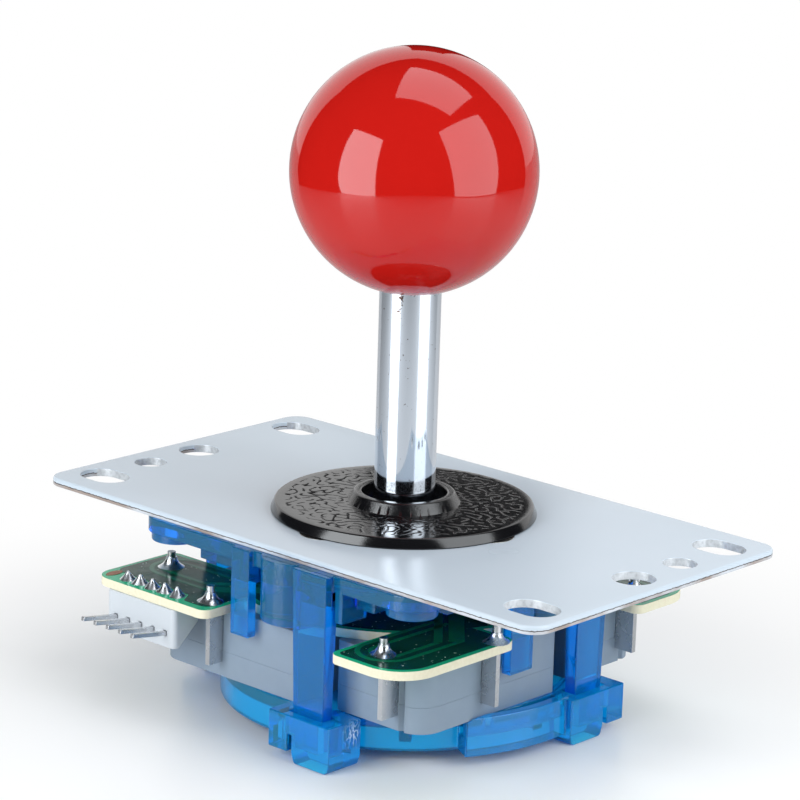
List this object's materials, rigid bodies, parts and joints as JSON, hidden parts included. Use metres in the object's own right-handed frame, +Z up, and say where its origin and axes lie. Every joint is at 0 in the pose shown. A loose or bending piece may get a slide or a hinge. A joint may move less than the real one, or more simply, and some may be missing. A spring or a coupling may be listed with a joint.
{
  "type": "arcade joystick lever",
  "caption": "Ball-top arcade lever on a steel panel plate: it tilts in a clear blue body, presses snap switches set in a pinwheel on a circuit board, and is held in by a square gate.",
  "frame": {"origin": "middle of the plate's top face, on the lever's axis and at the centre of the four panel slots", "axes": "+Z up the lever towards the ball, +X along the plate's long side, header on the -Y side"},
  "size_m": [0.095, 0.0695, 0.0956],
  "materials": {
    "red_plastic": "glossy moulded red ball",
    "brass_insert": "turned brass",
    "chrome_shaft": "polished chrome plate",
    "black_plastic": "moulded leather grain with plain margins",
    "coated_plate": "pale grey satin coat, bare blanked edge",
    "plated_screw": "bright zinc plate",
    "clear_blue": "clear blue moulding",
    "white_acetal": "natural white moulding",
    "spring_steel": "drawn wire",
    "circuit_board": "green solder mask, pale cut edge",
    "tin": "bright tin",
    "white_nylon": "moulded white",
    "grey_switch": "moulded blue-grey",
    "black_plunger": "moulded black"
  },
  "bodies": {
    "base": {"dust_washer": "black_plastic", "mounting_plate": "coated_plate", "plate_screws": "plated_screw", "main_body": "clear_blue", "restrictor_gate": "clear_blue", "spring_seat": "white_acetal", "switch_board": "circuit_board", "solder_joints": "tin", "header_pins": "tin", "header_housing": "white_nylon", "switch_case_right": "grey_switch", "switch_cover_right": "grey_switch", "terminals_right": "tin", "switch_case_back": "grey_switch", "switch_cover_back": "grey_switch", "terminals_back": "tin", "switch_case_left": "grey_switch", "switch_cover_left": "grey_switch", "terminals_left": "tin", "switch_case_front": "grey_switch", "switch_cover_front": "grey_switch", "terminals_front": "tin"},
    "coil": {"centering_spring": "spring_steel"},
    "pivot": {"pivot_ball": "white_acetal"},
    "lever": {"shaft": "chrome_shaft", "ball_top": "red_plastic", "ball_insert": "brass_insert", "actuator": "white_acetal", "e_clip": "spring_steel"},
    "right_plunger": {"plunger_right": "black_plunger"},
    "back_plunger": {"plunger_back": "black_plunger"},
    "left_plunger": {"plunger_left": "black_plunger"},
    "front_plunger": {"plunger_front": "black_plunger"}
  },
  "joints": [
    {"name": "tilt_x", "type": "hinge", "parent": "base", "child": "coil", "pos_m": [0, 0, -0.005], "axis": [1, 0, 0], "range_deg": [-7, 7], "stiffness_Nm_per_rad": 0.25, "deforming": ["centering_spring"]},
    {"name": "tilt_y", "type": "hinge", "parent": "coil", "child": "pivot", "pos_m": [0, 0, -0.005], "axis": [0, 1, 0], "range_deg": [-7, 7], "stiffness_Nm_per_rad": 0.25, "deforming": ["centering_spring"]},
    {"name": "spin", "type": "hinge", "parent": "pivot", "child": "lever", "pos_m": [0, 0, -0.005], "axis": [0, 0, 1], "continuous": true},
    {"name": "press_right", "type": "slide", "parent": "base", "child": "right_plunger", "axis": [1, 0, 0], "range_m": [-0.00135, 0.00135]},
    {"name": "press_back", "type": "slide", "parent": "base", "child": "back_plunger", "axis": [0, 1, 0], "range_m": [-0.00135, 0.00135]},
    {"name": "press_left", "type": "slide", "parent": "base", "child": "left_plunger", "axis": [-1, 0, 0], "range_m": [-0.00135, 0.00135]},
    {"name": "press_front", "type": "slide", "parent": "base", "child": "front_plunger", "axis": [0, -1, 0], "range_m": [-0.00135, 0.00135]}
  ],
  "couplings": [
    {"joint": "press_right", "follows": "tilt_y", "m_per_rad": -0.0108},
    {"joint": "press_back", "follows": "tilt_x", "m_per_rad": 0.0108},
    {"joint": "press_left", "follows": "tilt_y", "m_per_rad": 0.0108},
    {"joint": "press_front", "follows": "tilt_x", "m_per_rad": -0.0108}
  ]
}
